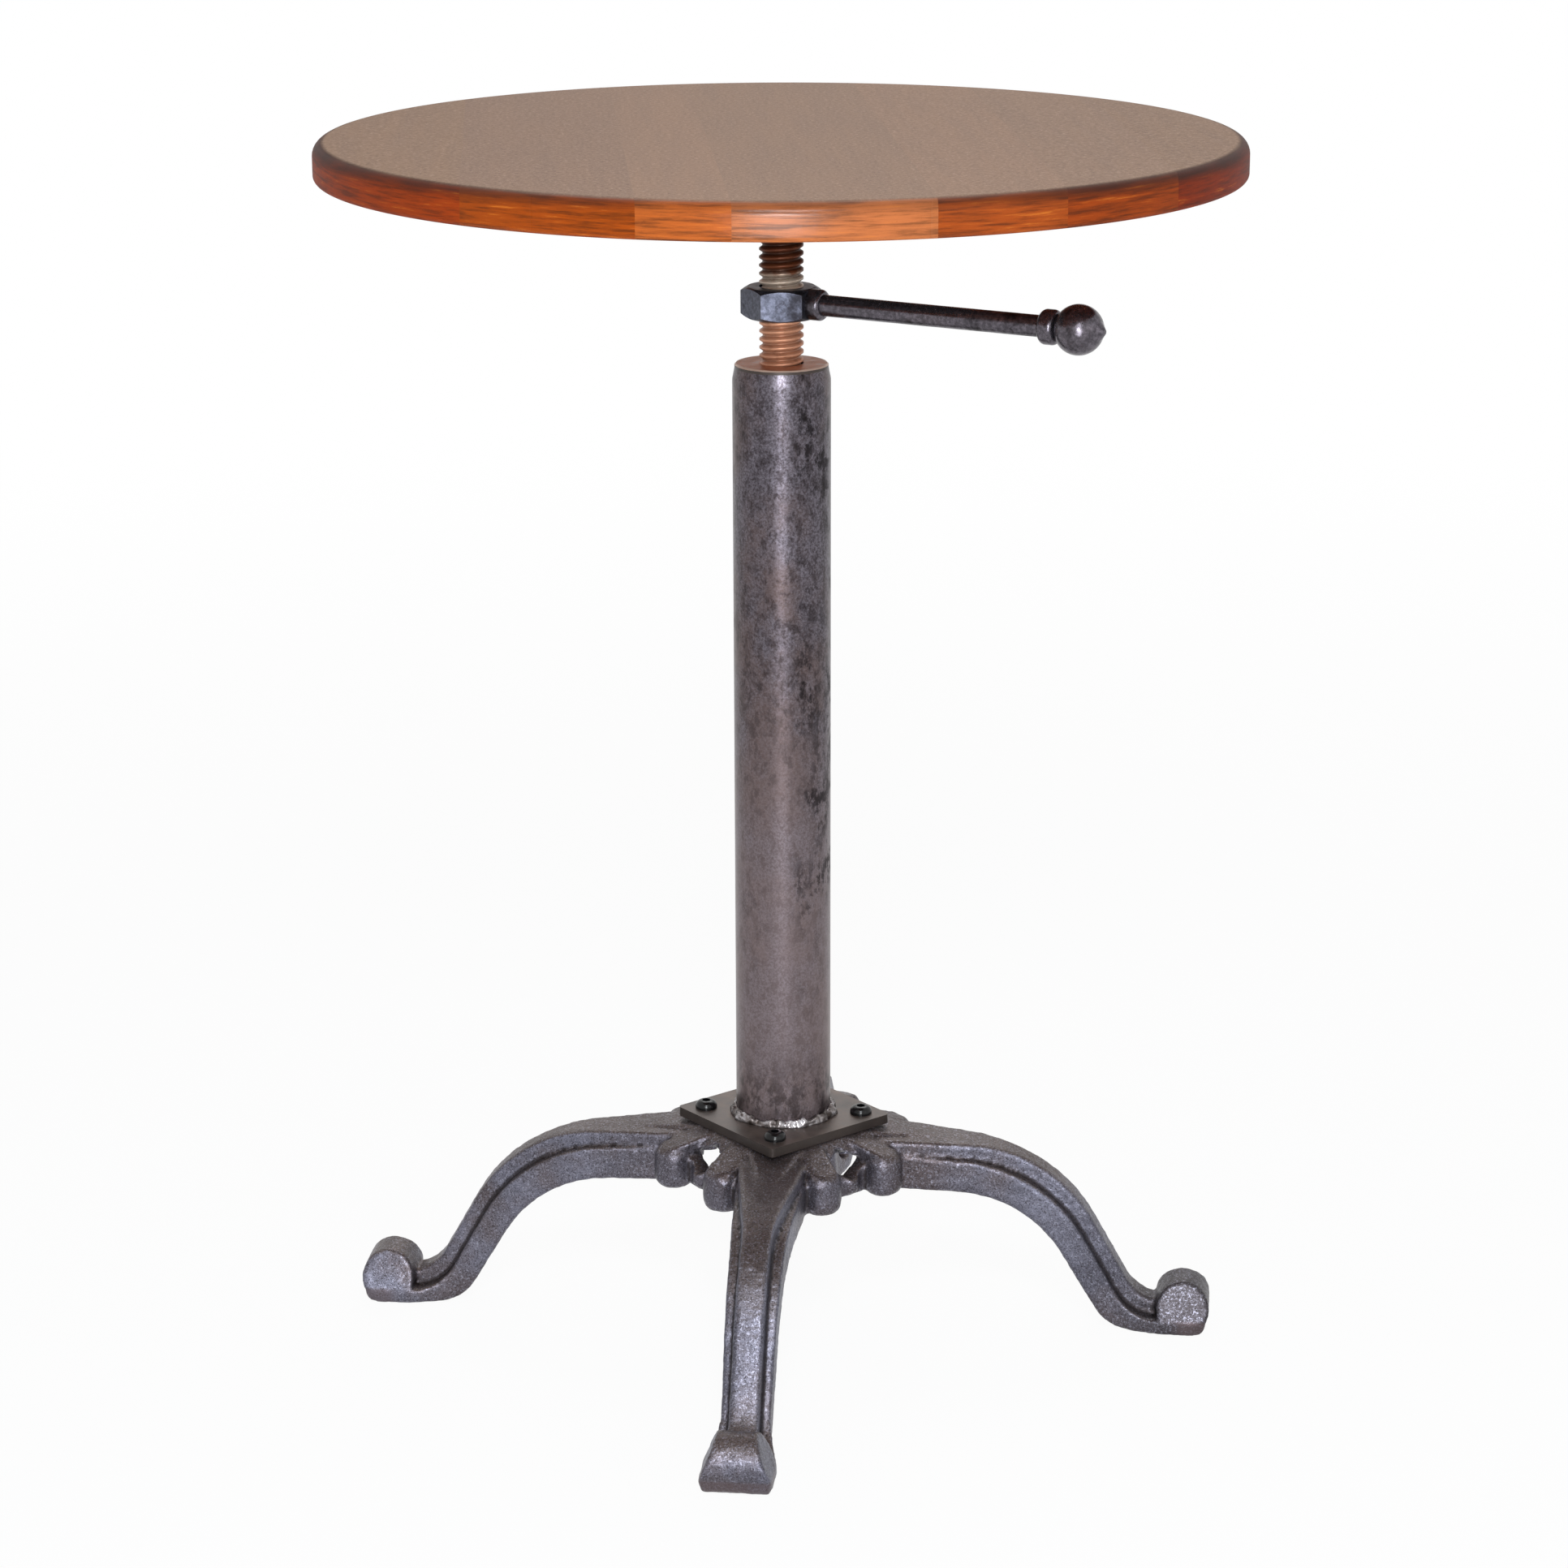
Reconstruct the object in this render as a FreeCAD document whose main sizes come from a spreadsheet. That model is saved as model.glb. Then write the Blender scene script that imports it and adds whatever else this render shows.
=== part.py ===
import FreeCAD, Part
import math
import os

import Sketcher

# A round wine table: a stave-built wooden top on a big lift screw, which turns in a bush at
# the top of a pipe column. The column is welded to a square plate, bolted to a cast spider of
# four scroll-footed legs. A lever nut on the screw locks the height. Millimetres, +Z up, the
# origin on the floor at the column's axis, the legs along X and Y.

SIZES = {
    # Table top
    "table_height": 762.0,
    "top_diameter": 558.8,
    "top_thickness": 22.0,
    "top_edge_radius": 4.0,
    "stave_angle": 10.0,
    "first_joint_offset": -190.0,
    "stave_width_2": 94.0,
    "stave_width_3": 51.0,
    "stave_width_4": 111.0,
    "stave_width_5": 74.0,
    "stave_width_6": 70.0,
    # Plate under the top and its wood screws
    "top_plate_diameter": 200.0,
    "top_plate_thickness": 5.0,
    "top_plate_edge": 1.0,
    "wood_screw_inset": 15.0,
    "wood_screw_diameter": 5.0,
    "wood_screw_depth": 14.0,
    "wood_screw_head_diameter": 9.5,
    "wood_screw_head_height": 3.2,
    "wood_screw_head_rounding": 2.5,
    "wood_screw_hole_clearance": 0.3,
    # Lift screw and its stop
    "screw_diameter": 27.0,
    "screw_length": 309.0,
    "screw_exposed": 116.0,
    "screw_weld_leg": 5.0,
    "stop_washer_thickness": 6.0,
    "stop_washer_clearance": 0.5,
    "stop_bolt_diameter": 12.0,
    "stop_bolt_depth": 25.0,
    "stop_bolt_head_diameter": 22.0,
    "stop_bolt_head_height": 8.0,
    "running_clearance": 0.05,
    # Column
    "column_diameter": 60.3,
    "column_wall": 3.9,
    "column_lip_height": 7.0,
    "column_lip_inset": 1.4,
    "column_weld_leg": 4.0,
    "column_weld_height": 5.5,
    "column_weld_rounding": 3.5,
    "bush_flange_diameter": 57.4,
    "bush_flange_thickness": 2.5,
    "bush_flange_chamfer": 0.8,
    "bush_spigot_length": 40.0,
    # Lock nut and lever
    "nut_across_flats": 43.0,
    "nut_thickness": 19.0,
    "nut_chamfer_angle": 30.0,
    "nut_seat_inset": 1.0,
    "nut_gap": 28.0,
    "lever_angle": -24.0,
    "lever_diameter": 13.0,
    "lever_length": 194.0,
    "lever_weld_diameter": 19.0,
    "lever_weld_length": 8.5,
    "lever_weld_rounding": 2.8,
    "collar_diameter": 21.0,
    "collar_length": 11.0,
    "collar_rounding": 3.5,
    "ball_diameter": 30.0,
    "ball_distance": 200.0,
    "ball_seat_diameter": 15.0,
    "ball_tip_diameter": 14.0,
    "ball_tip_end": 3.0,
    "ball_tip_length": 2.0,
    # Base plate and its bolts
    "plate_side": 97.0,
    "plate_thickness": 6.0,
    "plate_corner_radius": 3.0,
    "bolt_circle_radius": 50.0,
    "bolt_diameter": 8.0,
    "bolt_length": 22.0,
    "bolt_head_diameter": 14.0,
    "bolt_head_height": 5.0,
    "bolt_head_rounding": 4.0,
    "bolt_socket_flats": 5.0,
    "bolt_socket_depth": 2.6,
    "bolt_hole_clearance": 0.5,
    # Hub of the spider
    "hub_height": 131.5,
    "deck_radius": 50.0,
    "deck_thickness": 10.0,
    "skirt_radius": 68.0,
    "skirt_top": 117.0,
    "skirt_bottom": 100.0,
    "skirt_wall": 10.0,
    "gusset_width": 36.0,
    "gusset_reach": 107.0,
    "gusset_point": 1.0,
    "gusset_sink": 0.5,
    "strap_width": 18.0,
    "lobe_angle": 25.0,
    "lobe_distance": 74.0,
    "lobe_diameter": 25.0,
    "lobe_bottom": 96.0,
    "lobe_top": 123.0,
    "lobe_rounding": 7.0,
    "bead_angle": 45.0,
    "bead_distance": 66.5,
    "bead_diameter": 12.5,
    "bead_bottom": 101.5,
    "bead_top": 116.0,
    "bead_rounding": 5.0,
    "web_hole_width": 32.0,
    "web_hole_bottom": 111.0,
    "web_hole_middle": 120.0,
    "web_hole_top": 127.0,
    "web_hole_rounding": 2.0,
    "web_hole_top_rounding": 4.0,
    "boss_diameter": 18.0,
    "boss_depth": 11.0,
    # Legs of the spider: places along the leg are measured from the column's axis
    "knee_reach": 173.7,
    "knee_height": 119.5,
    "knee_radius": 100.0,
    "under_knee_reach": 157.3,
    "under_knee_height": 90.1,
    "under_knee_radius": 84.0,
    "leg_root_bottom": 98.0,
    "ankle_reach": 230.0,
    "ankle_height": 20.0,
    "ankle_radius": 30.0,
    "heel_reach": 210.9,
    "heel_radius": 28.0,
    "crease_back": 6.2,
    "crease_drop": 9.2,
    "rib_width": 18.5,
    "rib_root_width": 42.0,
    "rib_edge_radius": 2.0,
    "plan_bend_radius": 120.0,
    "flare_bend_radius": 30.0,
    "leg_bottom_radius": 3.0,
    "leg_root_width": 44.0,
    "leg_root_reach": 74.0,
    "leg_knee_width": 34.0,
    "leg_knee_reach": 150.0,
    "leg_shin_width": 30.0,
    "leg_shin_reach": 216.0,
    # Scroll feet
    "foot_reach": 259.0,
    "foot_radius": 17.0,
    "toe_width": 41.0,
    "toe_radius": 7.0,
    "foot_width": 44.0,
    "foot_top_width": 24.0,
    "foot_band_height": 9.0,
    "foot_flare_reach": 244.0,
}

STAVES = 7
LEGS = 4
WOOD_SCREWS = 4

doc = FreeCAD.newDocument("wine_table")
sheet = doc.addObject("Spreadsheet::Sheet", "Sizes")
for row, (alias, number) in enumerate(SIZES.items(), start=1):
    sheet.set("A%d" % row, alias)
    sheet.set("B%d" % row, str(number))
    sheet.setAlias("B%d" % row, alias)
doc.recompute()

pieces = []


# Helpers: expressions name the sheet's cells directly, such as "column_diameter / 2"

def bound(expression):
    """The expression with each size's name turned into a reference to its cell."""
    words = []
    word = ""
    for letter in expression + " ":
        if letter.isalnum() or letter == "_":
            word += letter
            continue
        words.append("Sizes." + word if word in SIZES else word)
        words.append(letter)
        word = ""
    return "".join(words).strip()


def value(expression):
    """The number that an expression gives."""
    result = sheet.evalExpression(bound(str(expression)))
    return float(getattr(result, "Value", result))


def origin_item(body, role):
    """One of the body's own origin planes or axes."""
    return [item for item in body.Origin.OriginFeatures if item.Role == role][0]


def new_body(label, z="0", turn="0", keep=True):
    """A body with its own label, raised by z and turned about the column's axis."""
    body = doc.addObject("PartDesign::Body", label)
    body.Label = label
    body.setExpression("Placement.Base.z", bound(z))
    body.Placement.Rotation = FreeCAD.Rotation(FreeCAD.Vector(0, 0, 1), value(turn))
    body.setExpression("Placement.Rotation.Angle", "(%s) * 1 deg" % bound(turn))
    if keep:
        pieces.append(body)
    return body


def new_sketch(body, name, role="XY_Plane", offset="0", turn="0"):
    """A sketch on one of the body's own planes, moved along its normal. One on an upright
    plane may also be turned about the column's axis."""
    sketch = body.newObject("Sketcher::SketchObject", name)
    sketch.AttachmentSupport = [(origin_item(body, role), "")]
    sketch.MapMode = "FlatFace"
    angle = "((%s) * 1 deg)" % bound(turn)
    if turn != "0":
        upright = FreeCAD.Vector(0, 1, 0)
        sketch.AttachmentOffset.Rotation = FreeCAD.Rotation(upright, value(turn))
        sketch.setExpression("AttachmentOffset.Rotation.Angle", angle)
    sketch.setExpression("AttachmentOffset.Base.x", "(%s) * sin(%s)" % (bound(offset), angle))
    sketch.setExpression("AttachmentOffset.Base.z", "(%s) * cos(%s)" % (bound(offset), angle))
    doc.recompute()
    return sketch


def fix_point(sketch, geometry, end, x, y):
    """Ties a point of the sketch to its place, given as two expressions."""
    for kind, axis, expression in (("DistanceX", -2, x), ("DistanceY", -1, y)):
        if abs(value(expression)) < 1e-9:
            sketch.addConstraint(Sketcher.Constraint("PointOnObject", geometry, end, axis))
            continue
        index = sketch.addConstraint(Sketcher.Constraint(kind, -1, 1, geometry, end, value(expression)))
        sketch.setExpression("Constraints[%d]" % index, bound(expression))


def add_circle(sketch, x, y, diameter):
    """A circle whose centre and diameter are expressions."""
    centre = FreeCAD.Vector(value(x), value(y), 0)
    outline = Part.Circle(centre, FreeCAD.Vector(0, 0, 1), value(diameter) / 2)
    circle = sketch.addGeometry(outline, False)
    fix_point(sketch, circle, 3, x, y)
    index = sketch.addConstraint(Sketcher.Constraint("Diameter", circle, value(diameter)))
    sketch.setExpression("Constraints[%d]" % index, bound(diameter))


def add_axis(sketch, x, low, high):
    """An upright construction line at x, for turning the sketch's outline about."""
    ends = [FreeCAD.Vector(value(x), value(low), 0), FreeCAD.Vector(value(x), value(high), 0)]
    axis = sketch.addGeometry(Part.LineSegment(ends[0], ends[1]), True)
    fix_point(sketch, axis, 1, x, low)
    fix_point(sketch, axis, 2, x, high)


def rounded_corner(before, corner, after, radius):
    """A rounded corner's first and last points and its arc, which runs anticlockwise."""
    to_before = (before - corner).normalize()
    to_after = (after - corner).normalize()
    half = to_before.getAngle(to_after) / 2
    first = corner + to_before * (radius / math.tan(half))
    last = corner + to_after * (radius / math.tan(half))
    centre = corner + (to_before + to_after).normalize() * (radius / math.sin(half))
    turns_left = to_after.cross(to_before).z > 0
    ends = (first, last) if turns_left else (last, first)
    angles = [math.atan2(end.y - centre.y, end.x - centre.x) for end in ends]
    circle = Part.Circle(centre, FreeCAD.Vector(0, 0, 1), radius)
    return first, last, Part.ArcOfCircle(circle, angles[0], angles[1]), 1 if turns_left else 2


def add_outline(sketch, corners):
    """A closed outline of straight runs. A corner is (x, y) or (x, y, rounding radius)."""
    places = [FreeCAD.Vector(value(corner[0]), value(corner[1]), 0) for corner in corners]
    count = len(corners)
    turns = []
    for i, corner in enumerate(corners):
        if len(corner) == 3:
            after = places[(i + 1) % count]
            turns.append(rounded_corner(places[i - 1], places[i], after, value(corner[2])))
        else:
            turns.append((places[i], places[i], None, 0))
    lines = []
    for i in range(count):
        run = Part.LineSegment(turns[i][1], turns[(i + 1) % count][0])
        lines.append(sketch.addGeometry(run, False))
    for i, corner in enumerate(corners):
        coming, leaving = lines[i - 1], lines[i]
        if len(corner) == 2:
            sketch.addConstraint(Sketcher.Constraint("Coincident", coming, 2, leaving, 1))
            fix_point(sketch, leaving, 1, corner[0], corner[1])
            continue
        arc = sketch.addGeometry(turns[i][2], False)
        first = turns[i][3]
        point = sketch.addGeometry(Part.Point(places[i]), True)
        fix_point(sketch, point, 1, corner[0], corner[1])
        sketch.addConstraint(Sketcher.Constraint("PointOnObject", point, 1, coming))
        sketch.addConstraint(Sketcher.Constraint("PointOnObject", point, 1, leaving))
        sketch.addConstraint(Sketcher.Constraint("Tangent", coming, 2, arc, first))
        sketch.addConstraint(Sketcher.Constraint("Tangent", arc, 3 - first, leaving, 1))
        index = sketch.addConstraint(Sketcher.Constraint("Radius", arc, value(corner[2])))
        sketch.setExpression("Constraints[%d]" % index, bound(corner[2]))


def add_pad(body, name, sketch, length, both_ways=False):
    """The sketch drawn out by length, upward or evenly both ways."""
    pad = body.newObject("PartDesign::Pad", name)
    pad.Profile = sketch
    pad.SideType = "Symmetric" if both_ways else "One side"
    pad.setExpression("Length", bound(length))
    doc.recompute()
    return pad


def add_pocket(body, name, sketch, length=None, both_ways=False, upward=False):
    """The sketch cut into the body by length, or right through. The cut must take material."""
    before = body.Shape.Volume
    pocket = body.newObject("PartDesign::Pocket", name)
    pocket.Profile = sketch
    pocket.SideType = "Symmetric" if both_ways else "One side"
    pocket.Reversed = upward
    if length is None:
        pocket.Type = "ThroughAll"
    else:
        pocket.setExpression("Length", bound(length))
    doc.recompute()
    if body.Shape.Volume > before - 1e-6:
        raise RuntimeError(name + " takes nothing away")
    return pocket


def add_turning(body, name, sketch, axis="V_Axis", cut=False):
    """The sketch turned fully about one of its axes, as a solid or as a groove."""
    before = body.Shape.Volume if cut else 0.0
    turning = body.newObject("PartDesign::Groove" if cut else "PartDesign::Revolution", name)
    turning.Profile = sketch
    turning.ReferenceAxis = (sketch, [axis])
    turning.Angle = 360.0
    doc.recompute()
    if cut and body.Shape.Volume > before - 1e-6:
        raise RuntimeError(name + " takes nothing away")
    return turning


def add_ring(body, name, features, count, whole=False):
    """Copies round the column's axis, of some features or of the whole shape so far."""
    ring = body.newObject("PartDesign::PolarPattern", name)
    if whole:
        ring.TransformMode = "Whole shape"
    else:
        ring.Originals = features
    ring.Axis = (origin_item(body, "Z_Axis"), [""])
    ring.Angle = 360.0
    ring.Occurrences = count
    body.Tip = ring
    doc.recompute()
    return ring


def facing(face):
    """The outward direction of a face at its middle."""
    low_u, high_u, low_v, high_v = face.ParameterRange
    return face.normalAt((low_u + high_u) / 2, (low_v + high_v) / 2)


def round_edges(body, name, first, second, radius):
    """Rounds the edges where a face that passes the first test meets one that passes the second."""
    base = body.Tip
    picked = []
    for index, edge in enumerate(base.Shape.Edges, start=1):
        sides = base.Shape.ancestorsOfType(edge, Part.Face)
        tests = [(first(facing(side)), second(facing(side))) for side in sides]
        if len(tests) == 2 and (tests[0][0] and tests[1][1] or tests[0][1] and tests[1][0]):
            picked.append("Edge%d" % index)
    if not picked:
        raise RuntimeError(name + " finds no edge")
    fillet = body.newObject("PartDesign::Fillet", name)
    fillet.Base = (base, picked)
    fillet.setExpression("Radius", bound(radius))
    doc.recompute()
    return fillet


def turned_piece(label, corners, z="0", turn="0", axis="V_Axis"):
    """A body made by turning an outline in the XZ plane about the column's axis or about X."""
    body = new_body(label, z, turn)
    sketch = new_sketch(body, label + "_outline", "XZ_Plane")
    add_outline(sketch, corners)
    add_turning(body, label + "_turning", sketch, axis)
    return body


# Heights that several pieces share

PLATE_TOP = "(hub_height + plate_thickness)"
TOP_UNDERSIDE = "(table_height - top_thickness)"
BUSH_TOP = "(table_height - top_thickness - screw_exposed)"
COLUMN_TOP = "(%s - bush_flange_thickness)" % BUSH_TOP
COLUMN_LENGTH = "(%s - %s)" % (COLUMN_TOP, PLATE_TOP)
NUT_BOTTOM = "(%s + nut_gap)" % BUSH_TOP
SCREW_BOTTOM = "(%s - screw_length)" % TOP_UNDERSIDE
WOOD_SCREW_REACH = "(top_plate_diameter / 2 - wood_screw_inset)"
BORE_RADIUS = "(column_diameter / 2 - column_wall)"
SCREW_HOLE_RADIUS = "(screw_diameter / 2 + running_clearance)"
TOE_REACH = "(foot_reach + foot_radius)"
TOE_FRONT = "(foot_reach + foot_radius * cos(30 deg))"
BLANK_WIDTH = "(2 * foot_width)"


# Leg spider: one leg is made along X, then set round the axis, then the hub joins the four

def is_flank(direction):
    """A face that looks sideways from the leg."""
    return abs(direction.z) < 0.01 and abs(direction.y) > 0.5


def looks_up(direction):
    return direction.z > 0.3


def looks_down(direction):
    return direction.z < -0.3


def make_rib(spider):
    """The upper rib, which carries the flat top face of the leg."""
    rib = new_sketch(spider, "rib_outline", "XZ_Plane")
    add_outline(rib, [
        ("0", "hub_height"),
        ("knee_reach", "knee_height", "knee_radius"),
        ("ankle_reach", "ankle_height", "ankle_radius"),
        ("foot_reach", "foot_radius"),
        ("foot_reach", "foot_radius / 4"),
        ("heel_reach", "foot_radius / 4", "heel_radius"),
        ("under_knee_reach", "under_knee_height + crease_drop / 2", "under_knee_radius"),
        ("0", "leg_root_bottom + crease_drop / 2")])
    add_pad(spider, "rib", rib, BLANK_WIDTH, both_ways=True)
    plan = new_sketch(spider, "rib_plan", "XY_Plane")
    for side in ("", "-1 * "):
        add_outline(plan, [
            ("0", side + "rib_root_width / 2"),
            ("leg_root_reach", side + "rib_root_width / 2", "plan_bend_radius"),
            ("leg_knee_reach", side + "rib_width / 2", "plan_bend_radius"),
            (TOE_REACH, side + "rib_width / 2"),
            (TOE_REACH, side + BLANK_WIDTH),
            ("0", side + BLANK_WIDTH)])
    add_pocket(spider, "rib_trim", plan, upward=True)
    round_edges(spider, "rib_rounding", is_flank, looks_up, "rib_edge_radius")


def make_band(spider):
    """The wider lower band, which the rib stands on, and its foot."""
    band = new_sketch(spider, "band_outline", "XZ_Plane")
    add_outline(band, [
        ("0", "hub_height - crease_drop"),
        ("knee_reach - crease_back", "knee_height - crease_drop", "knee_radius"),
        ("ankle_reach - crease_back", "ankle_height - crease_drop", "ankle_radius"),
        ("foot_reach", "foot_radius / 2"),
        ("foot_reach", "0"),
        ("heel_reach", "0", "heel_radius"),
        ("under_knee_reach", "under_knee_height", "under_knee_radius"),
        ("0", "leg_root_bottom")])
    add_pad(spider, "band", band, BLANK_WIDTH, both_ways=True)
    scroll = new_sketch(spider, "foot_outline", "XZ_Plane")
    add_circle(scroll, "foot_reach", "foot_radius", "2 * foot_radius")
    add_pad(spider, "foot", scroll, BLANK_WIDTH, both_ways=True)
    plan = new_sketch(spider, "band_plan", "XY_Plane")
    for side in ("", "-1 * "):
        add_outline(plan, [
            ("0", side + "leg_root_width / 2"),
            ("leg_root_reach", side + "leg_root_width / 2", "plan_bend_radius"),
            ("leg_knee_reach", side + "leg_knee_width / 2", "plan_bend_radius"),
            ("leg_shin_reach", side + "leg_shin_width / 2", "flare_bend_radius"),
            ("foot_flare_reach", side + "foot_width / 2", "flare_bend_radius"),
            (TOE_REACH + " + foot_radius", side + "foot_width / 2"),
            (TOE_REACH + " + foot_radius", side + BLANK_WIDTH),
            ("0", side + BLANK_WIDTH)])
    add_pocket(spider, "band_trim", plan, upward=True)
    round_edges(spider, "bottom_rounding", is_flank, looks_down, "leg_bottom_radius")
    toe = new_sketch(spider, "toe_outline", "XZ_Plane")
    add_outline(toe, [
        ("foot_reach", "foot_radius / 2"),
        ("foot_reach", "0"),
        (TOE_FRONT, "0", "toe_radius"),
        (TOE_FRONT, "foot_radius / 2")])
    add_pad(spider, "toe", toe, "toe_width", both_ways=True)
    taper = new_sketch(spider, "foot_taper", "YZ_Plane", "foot_reach - foot_radius")
    for side in ("", "-1 * "):
        add_outline(taper, [
            (side + "foot_width / 2", "foot_band_height"),
            (side + "foot_top_width / 2", "2 * foot_radius"),
            (side + "foot_top_width / 2", "3 * foot_radius"),
            (side + "foot_width", "3 * foot_radius"),
            (side + "foot_width", "foot_band_height")])
    add_pocket(spider, "foot_taper_cut", taper, upward=True)


def add_post(spider, name, angle):
    """An upright round post of the hub's skirt, a lobe or a bead, with rounded ends."""
    kind = name.split("_")[0]
    sketch = new_sketch(spider, name + "_outline", "XZ_Plane", turn=angle)
    edge = "%s_distance + %s_diameter / 2" % (kind, kind)
    middle = kind + "_distance"
    add_outline(sketch, [
        (middle, kind + "_bottom"),
        (edge, kind + "_bottom", kind + "_rounding"),
        (edge, kind + "_top", kind + "_rounding"),
        (middle, kind + "_top")])
    add_axis(sketch, middle, kind + "_bottom", kind + "_top")
    return add_turning(spider, name, sketch, "Axis0")


def add_gusset(spider):
    """The wedge on top of a leg's root, from the deck down to a point on the leg."""
    gusset = spider.newObject("PartDesign::AdditiveWedge", "gusset")
    gusset.AttachmentSupport = [(origin_item(spider, "XY_Plane"), "")]
    gusset.MapMode = "FlatFace"
    leg_top = "hub_height - (hub_height - knee_height) * gusset_reach / knee_reach"
    faces = {
        "Xmin": "-1 * gusset_width / 2",
        "Xmax": "gusset_width / 2",
        "X2min": "-1 * gusset_point / 2",
        "X2max": "gusset_point / 2",
        "Ymin": "deck_radius",
        "Ymax": "gusset_reach",
        "Zmin": "skirt_top",
        "Zmax": "hub_height",
        "Z2min": "skirt_top",
        "Z2max": leg_top + " - gusset_sink"}
    for face, place in faces.items():
        gusset.setExpression(face, bound(place))
    doc.recompute()
    return gusset


def add_strap(spider, name, angle):
    """The sloping strap from the deck to a lobe."""
    sketch = new_sketch(spider, name + "_outline", "XZ_Plane", turn=angle)
    add_outline(sketch, [
        ("deck_radius - strap_width / 2", "hub_height"),
        ("deck_radius", "hub_height"),
        ("lobe_distance + lobe_diameter / 4", "lobe_top"),
        ("lobe_distance + lobe_diameter / 4", "skirt_bottom"),
        ("deck_radius - strap_width / 2", "skirt_bottom")])
    return add_pad(spider, name, sketch, "strap_width", both_ways=True)


def make_hub(spider):
    deck = new_sketch(spider, "deck_outline", "XZ_Plane")
    add_outline(deck, [
        ("0", "hub_height"),
        ("deck_radius", "hub_height"),
        ("skirt_radius", "skirt_top"),
        ("skirt_radius", "skirt_bottom"),
        ("0", "skirt_bottom")])
    add_turning(spider, "deck", deck)
    posts = [add_post(spider, "lobe_left", "lobe_angle"),
             add_post(spider, "lobe_right", "-1 * lobe_angle"),
             add_post(spider, "bead", "bead_angle"),
             add_strap(spider, "strap_left", "lobe_angle"),
             add_strap(spider, "strap_right", "-1 * lobe_angle"),
             add_gusset(spider)]
    add_ring(spider, "post_ring", posts, LEGS)
    hollow = new_sketch(spider, "hub_hollow_plan", "XY_Plane")
    add_circle(hollow, "0", "0", "2 * (skirt_radius - skirt_wall)")
    add_pocket(spider, "hub_hollow", hollow, "hub_height - deck_thickness", upward=True)
    hole = new_sketch(spider, "web_hole_outline", "YZ_Plane", "deck_radius", "bead_angle")
    add_outline(hole, [
        ("-1 * web_hole_width / 2", "web_hole_middle", "web_hole_rounding"),
        ("0", "web_hole_bottom", "web_hole_rounding"),
        ("web_hole_width / 2", "web_hole_middle", "web_hole_rounding"),
        ("0", "web_hole_top", "web_hole_top_rounding")])
    web_hole = add_pocket(spider, "web_hole", hole, upward=True)
    add_ring(spider, "web_hole_ring", [web_hole], LEGS)
    boss_bottom = "hub_height - deck_thickness - boss_depth"
    boss_plan = new_sketch(spider, "boss_plan", "XY_Plane", boss_bottom)
    add_circle(boss_plan, "bolt_circle_radius", "0", "boss_diameter")
    boss = add_pad(spider, "boss", boss_plan, "boss_depth + deck_thickness / 2")
    bolt_plan = new_sketch(spider, "bolt_hole_plan", "XY_Plane", "hub_height")
    add_circle(bolt_plan, "bolt_circle_radius", "0", "bolt_diameter + 2 * running_clearance")
    hole_depth = "bolt_length - plate_thickness + bolt_hole_clearance"
    bolt_hole = add_pocket(spider, "bolt_hole", bolt_plan, hole_depth)
    add_ring(spider, "boss_ring", [boss, bolt_hole], LEGS)


def make_spider():
    spider = new_body("leg_spider")
    make_rib(spider)
    make_band(spider)
    add_ring(spider, "leg_ring", [], LEGS, whole=True)
    make_hub(spider)


# Base plate and the bolts that hold it to the hub

def make_base_plate():
    plate = new_body("base_plate", "hub_height")
    outline = new_sketch(plate, "plate_outline")
    corner = "plate_side / sqrt(2)"
    add_outline(outline, [
        (corner, "0", "plate_corner_radius"),
        ("0", corner, "plate_corner_radius"),
        ("-1 * " + corner, "0", "plate_corner_radius"),
        ("0", "-1 * " + corner, "plate_corner_radius")])
    add_pad(plate, "plate", outline, "plate_thickness")
    hole_plan = new_sketch(plate, "hole_plan")
    add_circle(hole_plan, "bolt_circle_radius", "0", "bolt_diameter + 2 * bolt_hole_clearance")
    hole = add_pocket(plate, "hole", hole_plan, upward=True)
    add_ring(plate, "hole_ring", [hole], LEGS)


def add_hexagon(sketch, across_flats, x="0"):
    """A hexagon centred at x, with a flat square to the X axis."""
    corner_radius = "%s / 2 / cos(30 deg)" % across_flats
    corners = []
    for step in range(6):
        angle = "%d deg" % (30 + 60 * step)
        across = "%s + %s * cos(%s)" % (x, corner_radius, angle)
        along = "%s * sin(%s)" % (corner_radius, angle)
        corners.append((across, along))
    add_outline(sketch, corners)


def make_base_bolt(number):
    label = "base_bolt_%d" % number
    bolt = new_body(label, PLATE_TOP, "%d * 360 / %d" % (number - 1, LEGS))
    outline = new_sketch(bolt, label + "_outline", "XZ_Plane")
    tip = "plate_thickness - bolt_length"
    shank = "bolt_circle_radius + bolt_diameter / 2"
    head = "bolt_circle_radius + bolt_head_diameter / 2"
    add_outline(outline, [
        ("bolt_circle_radius", tip),
        (shank, tip),
        (shank, "0"),
        (head, "0"),
        (head, "bolt_head_height", "bolt_head_rounding"),
        ("bolt_circle_radius", "bolt_head_height")])
    add_axis(outline, "bolt_circle_radius", tip, "bolt_head_height")
    add_turning(bolt, label + "_turning", outline, "Axis0")
    socket = new_sketch(bolt, label + "_socket", "XY_Plane", "bolt_head_height")
    add_hexagon(socket, "bolt_socket_flats", "bolt_circle_radius")
    add_pocket(bolt, label + "_socket_cut", socket, "bolt_socket_depth")


# Column: pipe, weld at its foot and threaded bush at its top

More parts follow.
